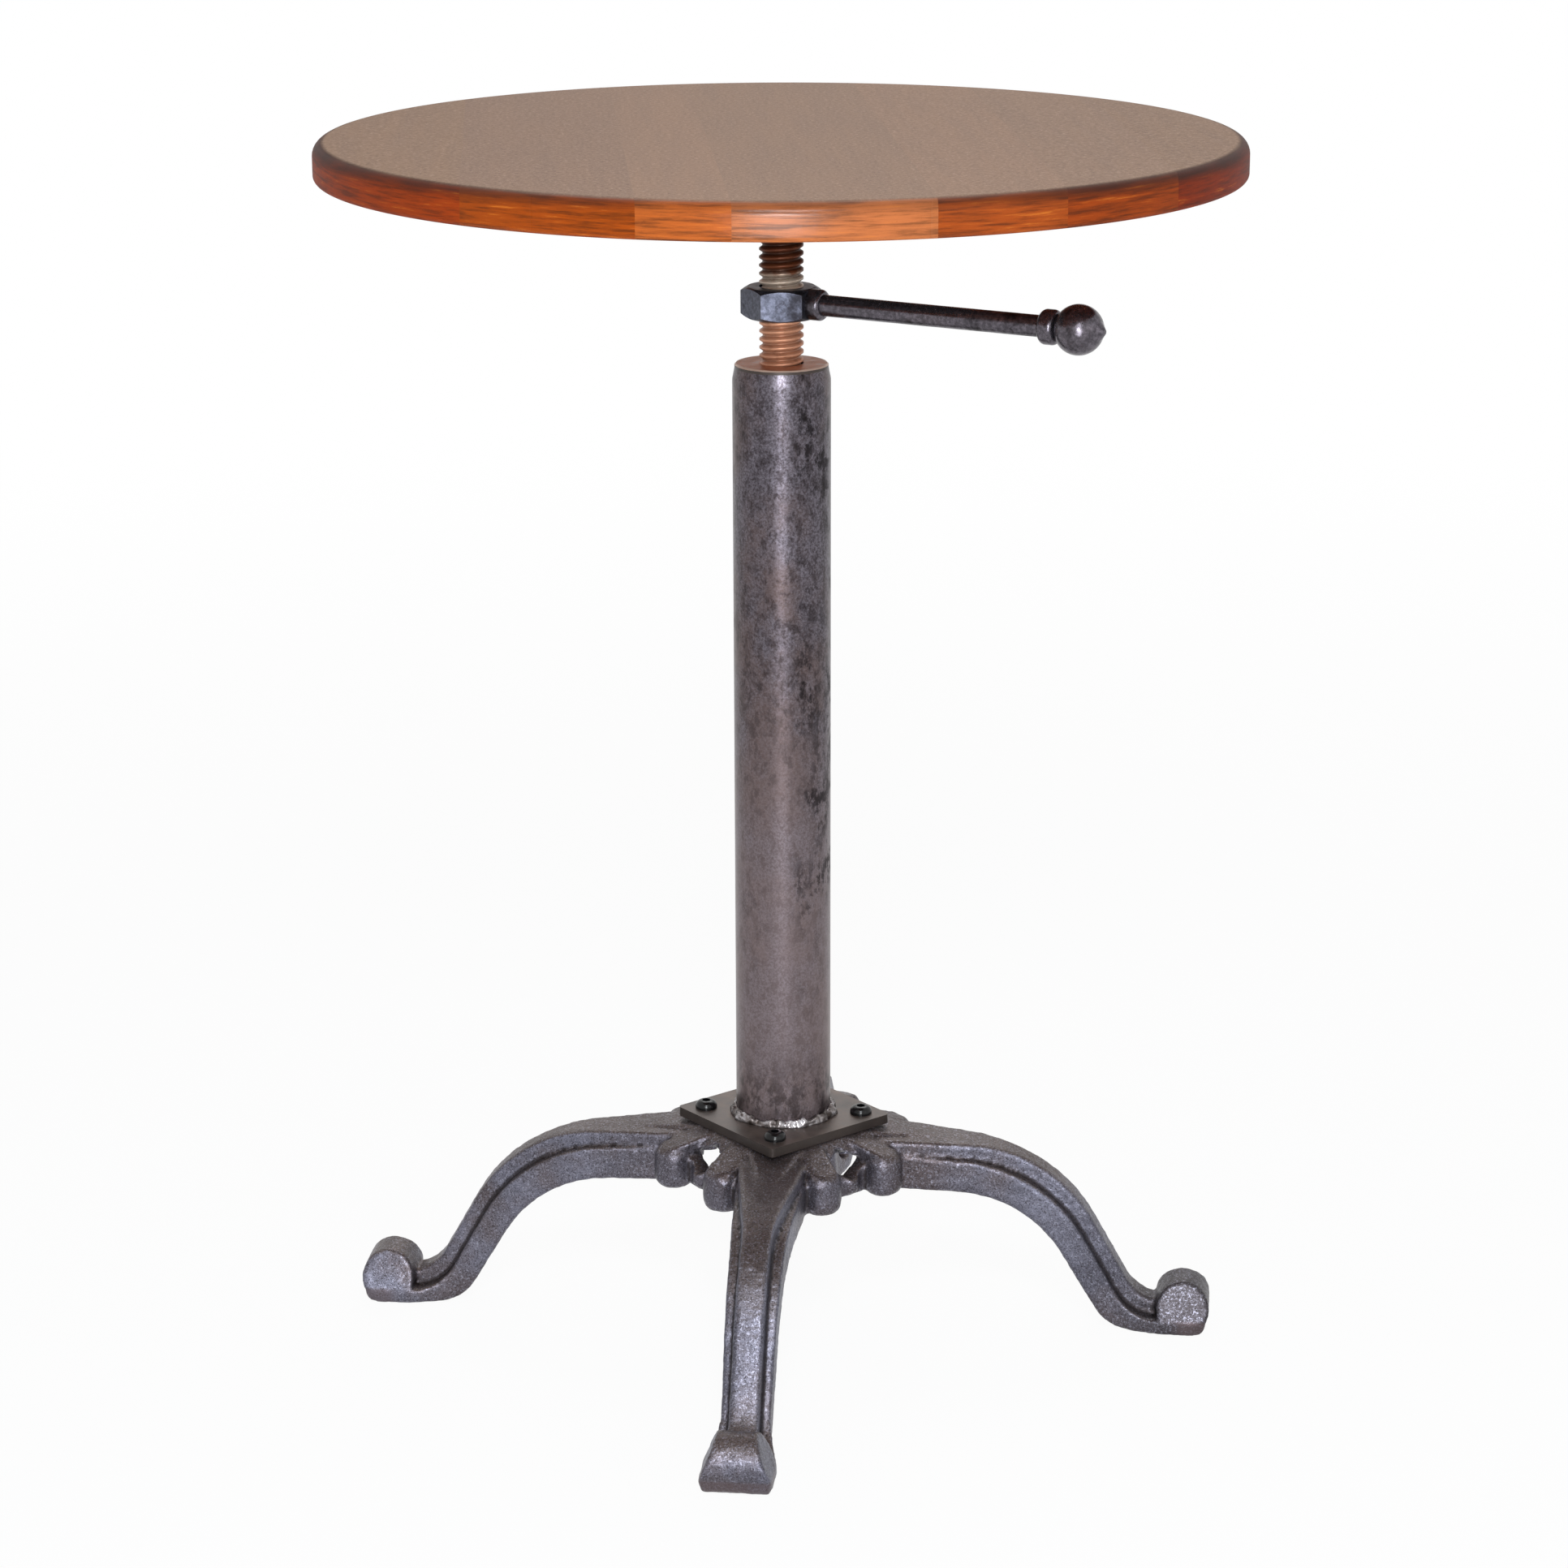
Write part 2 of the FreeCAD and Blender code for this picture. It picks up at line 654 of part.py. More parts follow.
def make_column():
    turned_piece("column_tube", [
        (BORE_RADIUS, "0"),
        ("column_diameter / 2", "0"),
        ("column_diameter / 2", COLUMN_LENGTH + " - column_lip_height", "2 * column_lip_height"),
        ("column_diameter / 2 - column_lip_inset", COLUMN_LENGTH),
        (BORE_RADIUS, COLUMN_LENGTH)], PLATE_TOP)
    foot = "column_diameter / 2 + running_clearance"
    turned_piece("column_weld", [
        (foot, "0"),
        (foot + " + column_weld_leg", "0"),
        (foot + " + column_weld_leg", "column_weld_height", "column_weld_rounding"),
        (foot, "column_weld_height")], PLATE_TOP)
    spigot = BORE_RADIUS + " - running_clearance"
    turned_piece("column_bush", [
        (SCREW_HOLE_RADIUS, "-1 * bush_spigot_length"),
        (spigot, "-1 * bush_spigot_length"),
        (spigot, "0"),
        ("bush_flange_diameter / 2", "0"),
        ("bush_flange_diameter / 2", "bush_flange_thickness - bush_flange_chamfer"),
        ("bush_flange_diameter / 2 - bush_flange_chamfer", "bush_flange_thickness"),
        (SCREW_HOLE_RADIUS, "bush_flange_thickness")], COLUMN_TOP)


# Lift screw with its stop, below, and the plate that carries the top, above

def make_lift_screw():
    tapped = "stop_bolt_diameter / 2 + running_clearance"
    turned_piece("lift_screw", [
        (tapped, "0"),
        ("screw_diameter / 2", "0"),
        ("screw_diameter / 2", "screw_length"),
        ("0", "screw_length"),
        ("0", "stop_bolt_depth"),
        (tapped, "stop_bolt_depth")], SCREW_BOTTOM)
    washer_edge = BORE_RADIUS + " - stop_washer_clearance"
    washer_bottom = SCREW_BOTTOM + " - stop_washer_thickness - running_clearance"
    turned_piece("stop_washer", [
        (tapped, "0"),
        (washer_edge, "0"),
        (washer_edge, "stop_washer_thickness"),
        (tapped, "stop_washer_thickness")], washer_bottom)
    head_bottom = "-1 * stop_washer_thickness - 2 * running_clearance - stop_bolt_head_height"
    head_top = "-1 * stop_washer_thickness - 2 * running_clearance"
    turned_piece("stop_bolt", [
        ("0", head_bottom),
        ("stop_bolt_head_diameter / 2", head_bottom),
        ("stop_bolt_head_diameter / 2", head_top),
        ("stop_bolt_diameter / 2", head_top),
        ("stop_bolt_diameter / 2", "stop_bolt_depth"),
        ("0", "stop_bolt_depth")], SCREW_BOTTOM)


def make_top_plate():
    underside = TOP_UNDERSIDE + " - top_plate_thickness"
    plate = turned_piece("top_plate", [
        (SCREW_HOLE_RADIUS, "0"),
        ("top_plate_diameter / 2 - top_plate_edge", "0"),
        ("top_plate_diameter / 2", "top_plate_edge"),
        ("top_plate_diameter / 2", "top_plate_thickness"),
        (SCREW_HOLE_RADIUS, "top_plate_thickness")], underside, "stave_angle")
    hole_plan = new_sketch(plate, "wood_screw_hole_plan")
    hole_diameter = "wood_screw_diameter + 2 * wood_screw_hole_clearance"
    add_circle(hole_plan, WOOD_SCREW_REACH, "0", hole_diameter)
    hole = add_pocket(plate, "wood_screw_hole", hole_plan, upward=True)
    add_ring(plate, "wood_screw_hole_ring", [hole], WOOD_SCREWS)
    turned_piece("screw_weld", [
        (SCREW_HOLE_RADIUS, "0"),
        (SCREW_HOLE_RADIUS + " + screw_weld_leg", "0"),
        (SCREW_HOLE_RADIUS, "-1 * screw_weld_leg")], underside)


def make_wood_screw(number):
    label = "wood_screw_%d" % number
    turn = "stave_angle + %d * 360 / %d" % (number - 1, WOOD_SCREWS)
    screw = new_body(label, TOP_UNDERSIDE, turn)
    outline = new_sketch(screw, label + "_outline", "XZ_Plane")
    middle = WOOD_SCREW_REACH
    seat = "-1 * top_plate_thickness"
    head = middle + " + wood_screw_head_diameter / 2"
    head_bottom = seat + " - wood_screw_head_height"
    add_outline(outline, [
        (middle, head_bottom),
        (head, head_bottom, "wood_screw_head_rounding"),
        (head, seat),
        (middle + " + wood_screw_diameter / 2", seat),
        (middle + " + wood_screw_diameter / 2", "wood_screw_depth - wood_screw_diameter"),
        (middle, "wood_screw_depth")])
    add_axis(outline, middle, seat, "wood_screw_depth")
    add_turning(screw, label + "_turning", outline, "Axis0")


# Table top: one drilled disc with rounded arrises, parted into staves along the glue lines

def make_top():
    disc = new_body("top_disc", TOP_UNDERSIDE, "stave_angle", keep=False)
    outline = new_sketch(disc, "disc_outline", "XZ_Plane")
    add_outline(outline, [
        ("0", "0"),
        ("top_diameter / 2", "0", "top_edge_radius"),
        ("top_diameter / 2", "top_thickness", "top_edge_radius"),
        ("0", "top_thickness")])
    add_turning(disc, "disc", outline)
    pilot_plan = new_sketch(disc, "pilot_plan")
    pilot_diameter = "wood_screw_diameter + 2 * running_clearance"
    pilot_depth = "wood_screw_depth + wood_screw_hole_clearance"
    add_circle(pilot_plan, WOOD_SCREW_REACH, "0", pilot_diameter)
    pilot = add_pocket(disc, "pilot", pilot_plan, pilot_depth, upward=True)
    add_ring(disc, "pilot_ring", [pilot], WOOD_SCREWS)
    joints = ["-1 * top_diameter", "first_joint_offset"]
    for number in range(2, STAVES):
        joints.append("%s + stave_width_%d" % (joints[-1], number))
    joints.append("top_diameter")
    for number in range(1, STAVES + 1):
        make_stave(number, disc, joints[number - 1], joints[number])


def make_stave(number, disc, left, right):
    """The strip of the disc between two glue lines."""
    strip = doc.addObject("Part::Box", "stave_strip_%d" % number)
    strip.setExpression("Length", bound("(%s) - (%s)" % (right, left)))
    strip.setExpression("Width", bound("2 * top_diameter"))
    strip.setExpression("Height", bound("2 * top_thickness"))
    along = "cos(stave_angle * 1 deg)"
    across = "sin(stave_angle * 1 deg)"
    corner = {
        "x": "(%s) * %s + top_diameter * %s" % (left, along, across),
        "y": "(%s) * %s - top_diameter * %s" % (left, across, along),
        "z": TOP_UNDERSIDE + " - top_thickness / 2"}
    for axis, place in corner.items():
        strip.setExpression("Placement.Base." + axis, bound(place))
    strip.setExpression("Placement.Rotation.Angle", bound("stave_angle * 1 deg"))
    stave = doc.addObject("Part::Common", "top_stave_%d" % number)
    stave.Label = "top_stave_%d" % number
    stave.Base = disc
    stave.Tool = strip
    pieces.append(stave)


# Lock nut on the lift screw, with its welded lever

def make_lock_nut():
    nut = new_body("lock_nut", NUT_BOTTOM, "lever_angle")
    outline = new_sketch(nut, "nut_outline")
    add_hexagon(outline, "nut_across_flats")
    add_pad(nut, "nut", outline, "nut_thickness")
    bore_plan = new_sketch(nut, "nut_bore_plan")
    add_circle(bore_plan, "0", "0", "screw_diameter + 2 * running_clearance")
    add_pocket(nut, "nut_bore", bore_plan, upward=True)
    seat = "nut_across_flats / 2 - nut_seat_inset"
    beyond = "nut_across_flats"
    drop = "(%s - (%s)) * tan(nut_chamfer_angle * 1 deg)" % (beyond, seat)
    chamfers = new_sketch(nut, "nut_chamfer_outline", "XZ_Plane")
    add_outline(chamfers, [
        (seat, "nut_thickness"),
        (beyond, "nut_thickness - " + drop),
        (beyond, "nut_thickness")])
    add_outline(chamfers, [
        (seat, "0"),
        (beyond, drop),
        (beyond, "0")])
    add_turning(nut, "nut_chamfers", chamfers, cut=True)


def make_lever():
    middle = NUT_BOTTOM + " + nut_thickness / 2"
    root = "nut_across_flats / 2"
    rod = "lever_diameter / 2"
    around = "lever_diameter / 2 + running_clearance"
    turned_piece("lever_arm", [
        (root, "0"),
        (root, rod),
        ("lever_length", rod),
        ("lever_length", "0")], middle, "lever_angle", "H_Axis")
    turned_piece("lever_weld", [
        (root, around),
        (root, "lever_weld_diameter / 2"),
        (root + " + lever_weld_length", "lever_weld_diameter / 2", "lever_weld_rounding"),
        (root + " + lever_weld_length", around)], middle, "lever_angle", "H_Axis")
    seat_depth = "sqrt(ball_diameter * ball_diameter - ball_seat_diameter * ball_seat_diameter) / 2"
    ball_face = "ball_distance - " + seat_depth
    turned_piece("lever_collar", [
        (ball_face + " - collar_length", around),
        (ball_face + " - collar_length", "collar_diameter / 2", "collar_rounding"),
        (ball_face, "collar_diameter / 2", "collar_rounding"),
        (ball_face, around)], middle, "lever_angle", "H_Axis")
    make_lever_ball(middle, ball_face)


def make_lever_ball(height, face):
    """The ball, flat where the collar seats, bored for the lever and with a blunt tip."""
    knob = new_body("lever_ball", height, "lever_angle")
    ball = knob.newObject("PartDesign::AdditiveSphere", "ball")
    ball.AttachmentSupport = [(origin_item(knob, "XY_Plane"), "")]
    ball.MapMode = "FlatFace"
    ball.setExpression("Radius", bound("ball_diameter / 2"))
    ball.setExpression("AttachmentOffset.Base.x", bound("ball_distance"))
    doc.recompute()
    tip = new_sketch(knob, "tip_outline", "XZ_Plane")
    tip_root = "ball_distance + ball_diameter / 2 - ball_tip_length"
    tip_end = "ball_distance + ball_diameter / 2 + ball_tip_length"
    add_outline(tip, [
        (tip_root, "0"),
        (tip_root, "ball_tip_diameter / 2"),
        (tip_end, "ball_tip_end / 2"),
        (tip_end, "0")])
    add_turning(knob, "tip", tip, "H_Axis")
    seat_plan = new_sketch(knob, "seat_plan", "YZ_Plane", face)
    add_circle(seat_plan, "0", "0", "2 * ball_diameter")
    add_pocket(knob, "seat", seat_plan)
    bore_plan = new_sketch(knob, "ball_bore_plan", "YZ_Plane", "lever_length + running_clearance")
    add_circle(bore_plan, "0", "0", "lever_diameter + 2 * running_clearance")
    add_pocket(knob, "ball_bore", bore_plan)


make_spider()
make_base_plate()
for number in range(1, LEGS + 1):
    make_base_bolt(number)
make_column()
make_lift_screw()
make_top_plate()
for number in range(1, WOOD_SCREWS + 1):
    make_wood_screw(number)
make_top()
make_lock_nut()
make_lever()


# Every object has to be sound before anything is written

doc.recompute()
for item in doc.Objects:
    if "Invalid" in item.State or "Error" in item.State:
        raise RuntimeError("%s failed: %s" % (item.Label, item.State))
for piece in pieces:
    if piece.Shape.isNull() or not piece.Shape.isValid():
        raise RuntimeError(piece.Label + " has no sound shape")

os.makedirs("parts", exist_ok=True)
for piece in pieces:
    piece.Shape.exportStep("parts/%s.step" % piece.Label)
    print("%-16s solids %d volume %.0f" % (piece.Label, len(piece.Shape.Solids), piece.Shape.Volume))
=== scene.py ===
import math

import bmesh
import bpy
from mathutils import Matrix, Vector, noise


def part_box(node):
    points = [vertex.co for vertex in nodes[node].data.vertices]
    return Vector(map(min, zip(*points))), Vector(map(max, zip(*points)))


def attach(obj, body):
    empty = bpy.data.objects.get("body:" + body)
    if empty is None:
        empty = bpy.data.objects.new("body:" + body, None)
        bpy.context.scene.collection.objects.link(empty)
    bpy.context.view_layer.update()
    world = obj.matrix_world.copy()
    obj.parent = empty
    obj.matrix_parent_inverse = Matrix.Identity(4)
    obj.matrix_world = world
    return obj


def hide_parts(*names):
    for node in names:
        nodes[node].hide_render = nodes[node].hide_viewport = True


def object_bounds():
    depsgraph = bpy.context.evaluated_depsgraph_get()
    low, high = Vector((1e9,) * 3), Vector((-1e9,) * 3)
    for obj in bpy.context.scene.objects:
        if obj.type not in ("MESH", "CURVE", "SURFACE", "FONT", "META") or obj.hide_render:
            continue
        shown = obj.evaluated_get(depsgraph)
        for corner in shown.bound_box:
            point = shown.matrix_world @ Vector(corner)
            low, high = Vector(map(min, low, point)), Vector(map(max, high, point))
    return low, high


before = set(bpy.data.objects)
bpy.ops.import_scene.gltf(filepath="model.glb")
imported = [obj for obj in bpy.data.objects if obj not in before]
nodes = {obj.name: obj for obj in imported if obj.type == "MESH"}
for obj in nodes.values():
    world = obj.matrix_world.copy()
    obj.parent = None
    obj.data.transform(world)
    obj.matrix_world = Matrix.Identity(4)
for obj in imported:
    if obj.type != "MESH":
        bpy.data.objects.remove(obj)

# A round wine table: varnished staves on a rusty lift screw, gunmetal lever nut and column, and
# a sandy cast spider of four legs. Metres, in the frame of the CAD model.

cad_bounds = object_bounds()
top_radius = (cad_bounds[1][0] - cad_bounds[0][0]) / 2
top_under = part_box("top_stave_4")[0].z
top_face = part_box("top_stave_4")[1].z
scene = bpy.context.scene


# A small builder of node trees, whose methods add nodes and give back their output sockets

def tone(red, green, blue):
    """A display colour, each part 0 to 255, as the linear colour that nodes use."""
    parts = []
    for part in (red, green, blue):
        share = part / 255
        parts.append(share / 12.92 if share < 0.04045 else ((share + 0.055) / 1.055) ** 2.4)
    return (parts[0], parts[1], parts[2], 1.0)


class Tree:
    def __init__(self, tree):
        self.tree = tree

    def feed(self, socket, source):
        """Links a socket to another node's output, or gives it a constant."""
        if isinstance(source, bpy.types.NodeSocket):
            self.tree.links.new(source, socket)
        else:
            socket.default_value = source

    def node(self, kind, inputs, **options):
        made = self.tree.nodes.new(kind)
        for option, choice in options.items():
            setattr(made, option, choice)
        for socket, source in inputs.items():
            self.feed(made.inputs[socket], source)
        return made

    def calculate(self, operation, first, second=0.0, **options):
        made = self.node("ShaderNodeMath", {0: first, 1: second}, operation=operation, **options)
        return made.outputs[0]

    def sum(self, first, second):
        return self.calculate("ADD", first, second)

    def product(self, first, second):
        return self.calculate("MULTIPLY", first, second)


class Look(Tree):
    """A material: constants go to its shader's sockets, and finish feeds colour and roughness."""

    def __init__(self, name, **constants):
        self.material = bpy.data.materials.new(name)
        self.material.use_nodes = True
        super().__init__(self.material.node_tree)
        self.shader = self.tree.nodes["Principled BSDF"]
        for socket, number in constants.items():
            self.shader.inputs[socket.replace("_", " ")].default_value = number

    def spot(self):
        """Object coordinates."""
        return self.node("ShaderNodeTexCoord", {}).outputs["Object"]

    def place(self, turn=0.0, shift=(0, 0, 0), stretch=(1, 1, 1)):
        """Object coordinates, turned about Z and drawn out by stretch."""
        mapping = self.node("ShaderNodeMapping", {
            "Vector": self.spot(),
            "Location": shift,
            "Rotation": (0, 0, turn),
            "Scale": stretch}, vector_type="TEXTURE")
        return mapping.outputs["Vector"]

    def height(self):
        return self.node("ShaderNodeSeparateXYZ", {"Vector": self.spot()}).outputs["Z"]

    def along(self):
        """Place along X."""
        return self.node("ShaderNodeSeparateXYZ", {"Vector": self.spot()}).outputs["X"]

    def reach(self):
        """Distance from the column's axis."""
        flat = self.node("ShaderNodeVectorMath", {0: self.spot(), 1: (1, 1, 0)}, operation="MULTIPLY")
        length = self.node("ShaderNodeVectorMath", {0: flat.outputs[0]}, operation="LENGTH")
        return length.outputs["Value"]

    def upward(self):
        """How much the surface looks up, from -1 to 1."""
        geometry = self.node("ShaderNodeNewGeometry", {})
        parts = self.node("ShaderNodeSeparateXYZ", {"Vector": geometry.outputs["Normal"]})
        return parts.outputs["Z"]

    def attribute(self, name):
        return self.node("ShaderNodeAttribute", {}, attribute_name=name).outputs["Fac"]

    def noise(self, vector, scale, detail=4.0, roughness=0.55):
        made = self.node("ShaderNodeTexNoise", {
            "Vector": vector, "Scale": scale, "Detail": detail, "Roughness": roughness})
        return made.outputs["Fac"]

    def ramp(self, value, stops):
        """A colour for each value, between stops given as (value, colour)."""
        made = self.node("ShaderNodeValToRGB", {"Fac": value})
        band = made.color_ramp
        while len(band.elements) < len(stops):
            band.elements.new(0.5)
        for element, (position, colour) in zip(band.elements, stops):
            element.position = position
            element.color = colour
        return made.outputs["Color"]

    def span(self, value, low, high, least=0.0, most=1.0):
        """The value's smooth way from low to high, as a number from least to most."""
        made = self.node("ShaderNodeMapRange", {
            "Value": value, "From Min": low, "From Max": high, "To Min": least, "To Max": most},
            interpolation_type="SMOOTHSTEP")
        return made.outputs["Result"]

    def mix(self, share, first, second):
        made = self.node("ShaderNodeMix", {0: share, 6: first, 7: second}, data_type="RGBA")
        return made.outputs[2]

    def bump(self, height, distance, strength):
        made = self.node("ShaderNodeBump", {
            "Height": height, "Distance": distance, "Strength": strength})
        self.feed(self.shader.inputs["Normal"], made.outputs["Normal"])

    def finish(self, colour, roughness):
        self.feed(self.shader.inputs["Base Color"], colour)
        self.feed(self.shader.inputs["Roughness"], roughness)
        return self.material


# Wood: dull grey-brown face, glossy chestnut rim with some painted light in its stave tones, and a dark
# arris between them, with painted shade towards the ±X sides

STAVE_TURN = math.radians(10)
FACE_TONES = {1: (154, 124, 102), 2: (152, 123, 104), 3: (159, 128, 107), 4: (154, 125, 105),
              5: (158, 127, 106), 6: (153, 124, 104), 7: (151, 122, 101)}
# Rim tone of each stave: the lighter middle staves 3 and 4 are partly painted highlight, and the darker
# end staves 1 and 7 partly painted shade
RIM_TONES_WITH_PAINTED_LIGHT = {1: (144, 52, 2), 2: (146, 62, 4), 3: (168, 84, 30), 4: (172, 98, 54),
             5: (146, 64, 16), 6: (140, 56, 8), 7: (124, 38, 0)}


def wood_look(number):
    """One stave's wood, its grain shifted from its neighbours' by the stave's number."""
    look = Look("stained_wood_%d" % number, Specular_IOR_Level=0.16)
    shift = (0.37 * number, 0.61 * number, 0.23 * number)
    grain = look.place(STAVE_TURN, shift, (1, 14, 1))
    plain = look.place(STAVE_TURN, shift)
    figure = look.noise(grain, 90, 5, 0.6)
    pores = look.noise(grain, 900, 2, 0.7)
    dust = look.noise(plain, 430, 3, 0.85)
    face = tone(*FACE_TONES[number])
    rim = tone(*RIM_TONES_WITH_PAINTED_LIGHT[number])
    face_colour = look.mix(look.span(figure, 0.35, 0.7, 0.0, 0.22), face, tone(128, 108, 98))
    face_colour = look.mix(look.span(dust, 0.5, 0.72, 0.0, 0.75), face_colour, tone(194, 164, 144))
    face_colour = look.mix(look.span(dust, 0.5, 0.28, 0.0, 0.6), face_colour, tone(104, 84, 72))
    rings = look.noise(look.place(STAVE_TURN, shift, (6, 6, 0.35)), 150, 6, 0.68)
    dark = tone(*[part * 0.56 for part in RIM_TONES_WITH_PAINTED_LIGHT[number]])
    rim_colour = look.mix(look.span(rings, 0.42, 0.66, 0.0, 0.85), rim, dark)
    rim_colour = look.mix(look.span(rings, 0.42, 0.3, 0.0, 0.4), rim_colour, tone(212, 124, 44))
    rim_colour = look.mix(look.span(pores, 0.6, 0.85, 0.0, 0.4), rim_colour, tone(78, 28, 8))
    reach = look.sum(look.reach(), -top_radius)
    level = look.sum(look.height(), -top_face)
    upper = look.product(look.span(level, -0.0028, -0.0004), look.span(reach, -0.003, -0.0066))
    colour = look.mix(upper, rim_colour, face_colour)
    # Dark band on the upper arris; its extra darkness towards the ±X sides is painted shade
    arris = look.product(look.span(reach, -0.0082, -0.0046), look.span(level, -0.0095, -0.0022))
    sideways = look.calculate("ABSOLUTE", look.along())
    arris_dark_and_side_shade = look.span(sideways, 0.06, 0.22, 0.4, 0.88)
    uneven = look.span(look.noise(plain, 14, 3), 0.3, 0.65, -0.2, 0.1)
    arris = look.product(arris, look.sum(arris_dark_and_side_shade, uneven))
    colour = look.mix(arris, colour, tone(46, 20, 10))
    gloss = look.span(sideways, 0.08, 0.2, 0.22, 0.6)
    dull = look.sum(upper, look.span(look.upward(), -0.5, -0.9))
    roughness = look.sum(gloss, look.product(dull, look.sum(0.74, look.product(gloss, -1.0))))
    look.bump(look.sum(look.product(figure, 0.3), dust), 0.00012, 0.5)
    return look.finish(colour, roughness)


# Metals

def gunmetal_look(name, base, patch, roughness):
    """Dark drawn steel with a fine mottle and black patches."""
    look = Look(name, Metallic=0.9, Specular_IOR_Level=0.2)
    spot = look.place()
    fine = look.noise(spot, 420, 3, 0.7)
    cloud = look.noise(spot, 38, 6, 0.68)
    broad = look.noise(spot, 9, 3, 0.5)
    lean = look.sum(look.product(cloud, 0.75), look.product(broad, 0.25))
    darker = tone(*[part * 0.76 for part in base])
    lighter = tone(*[part * 1.1 for part in base])
    colour = look.mix(look.span(fine, 0.35, 0.7), darker, lighter)
    colour = look.mix(look.span(lean, 0.54, 0.66, 0.0, 0.85), colour, tone(*patch))
    warm = look.span(look.noise(spot, 17, 4), 0.5, 0.75, 0.0, 0.06)
    colour = look.mix(warm, colour, tone(128, 104, 92))
    look.bump(look.sum(fine, look.product(cloud, 0.8)), 0.00012, 0.35)
    return look.finish(colour, look.span(lean, 0.4, 0.7, roughness - 0.06, roughness + 0.16))


def column_look():
    """Drawn pipe: bluish grey and brown, sooty at its top and right side, with painted light making it
    paler lower down.
    """
    look = Look("column_steel", Metallic=0.85, Specular_IOR_Level=0.2)
    spot = look.place(stretch=(1, 1, 1.6))
    fine = look.noise(look.place(), 640, 4, 0.8)
    mottle = look.noise(spot, 170, 6, 0.75)
    cloud = look.noise(spot, 120, 7, 0.72)
    upper = look.span(look.height(), 0.3, 0.6, 0.0, 0.06)
    sooty = look.span(look.sum(look.noise(spot, 13, 3), upper), 0.48, 0.62)
    sooty = look.product(sooty, look.span(look.along(), 0.006, 0.016, 0.3, 1.0))
    soot = look.product(sooty, look.span(cloud, 0.46, 0.58, 0.0, 0.85))
    colour = look.mix(look.span(fine, 0.34, 0.66), tone(64, 58, 62), tone(114, 109, 118))
    colour = look.mix(look.span(look.noise(spot, 21, 5), 0.42, 0.66, 0.0, 0.6), colour, tone(94, 77, 72))
    colour = look.mix(look.span(mottle, 0.48, 0.62, 0.0, 0.65), colour, tone(42, 35, 36))
    # Painted light: paler below about 0.48 m, most of all below 0.26 m
    colour = look.mix(look.span(look.height(), 0.48, 0.26, 0.0, 0.45), colour, tone(132, 117, 117))
    foot = look.product(look.span(look.height(), 0.2, 0.15), look.span(cloud, 0.42, 0.58, 0.0, 0.7))
    colour = look.mix(foot, colour, tone(40, 33, 32))
    colour = look.mix(soot, colour, tone(24, 20, 21))
    look.bump(look.sum(fine, cloud), 0.0001, 0.2)
    return look.finish(colour, look.span(soot, 0.0, 0.9, 0.34, 0.6))


def screw_look():
    """Rusty thread: dark near the top, rubbed bright at the nut and coppery below."""
    look = Look("screw_steel", Metallic=0.5, Specular_IOR_Level=0.25)
    stain = look.noise(look.place(stretch=(1, 1, 0.5)), 120, 5, 0.65)
    level = look.sum(look.height(), look.product(look.sum(stain, -0.5), 0.008))
    nut_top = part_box("lock_nut")[1].z
    along = look.span(level, nut_top - 0.03, nut_top + 0.03)
    colour = look.ramp(along, [
        (0.0, tone(186, 134, 106)),
        (0.42, tone(192, 142, 112)),
        (0.5, tone(190, 174, 158)),
        (0.64, tone(176, 162, 146)),
        (0.76, tone(88, 46, 24)),
        (1.0, tone(76, 36, 18))])
    colour = look.mix(look.span(stain, 0.5, 0.75, 0.0, 0.6), colour, tone(112, 66, 40))
    sooty = look.span(level, nut_top, nut_top + 0.015, 0.45, 0.85)
    groove = look.span(look.attribute("groove"), 0.35, 1.0)
    colour = look.mix(look.product(groove, sooty), colour, tone(46, 26, 17))
    look.bump(look.noise(look.place(), 800, 3), 0.00015, 0.4)
    return look.finish(colour, look.span(stain, 0.3, 0.7, 0.34, 0.55))


def bush_look():
    """Copper-brown rusted disc, with a pale rim, and painted shade that darkens the faces not looking
    up.
    """
    look = Look("bush_steel", Metallic=0.45)
    stain = look.noise(look.place(), 160, 5, 0.65)
    colour = look.ramp(stain, [
        (0.25, tone(136, 84, 56)),
        (0.5, tone(190, 128, 94)),
        (0.75, tone(208, 172, 148))])
    colour = look.mix(look.span(look.reach(), 0.0262, 0.0282, 0.0, 0.85), colour, tone(222, 202, 186))
    # Painted shade: faces that don't look up go nearly black, for the dark gap under the disc's lip
    colour = look.mix(look.span(look.upward(), 0.5, 0.2, 0.0, 0.95), colour, tone(26, 20, 19))
    look.bump(stain, 0.0002, 0.4)
    return look.finish(colour, look.span(stain, 0.3, 0.7, 0.36, 0.56))


def plate_look():
    """Brownish aged plate with mill streaks and dark edges."""
    look = Look("plate_steel", Metallic=0.5)
    streak = look.noise(look.place(math.radians(45), stretch=(1, 9, 1)), 130, 4, 0.6)
    stain = look.noise(look.place(), 46, 5, 0.62)
    colour = look.ramp(stain, [
        (0.28, tone(54, 46, 42)),
        (0.5, tone(84, 74, 69)),
        (0.74, tone(114, 101, 94))])
    colour = look.mix(look.span(streak, 0.5, 0.72, 0.0, 0.4), colour, tone(86, 70, 60))
    colour = look.mix(look.span(look.upward(), 0.2, 0.8, 0.85, 0.0), colour, tone(46, 39, 36))
    look.bump(look.sum(streak, stain), 0.00015, 0.35)
    return look.finish(colour, look.span(stain, 0.3, 0.7, 0.3, 0.48))


def weld_look():
    """Bright bead with brown scale in its dips."""
    look = Look("weld_steel", Metallic=0.8)
    scale = look.noise(look.place(), 120, 4, 0.6)
    colour = look.ramp(scale, [
        (0.36, tone(54, 46, 42)),
        (0.5, tone(118, 111, 110)),
        (0.66, tone(178, 175, 178))])
    look.bump(scale, 0.0005, 0.5)
    return look.finish(colour, look.span(scale, 0.35, 0.65, 0.42, 0.2))


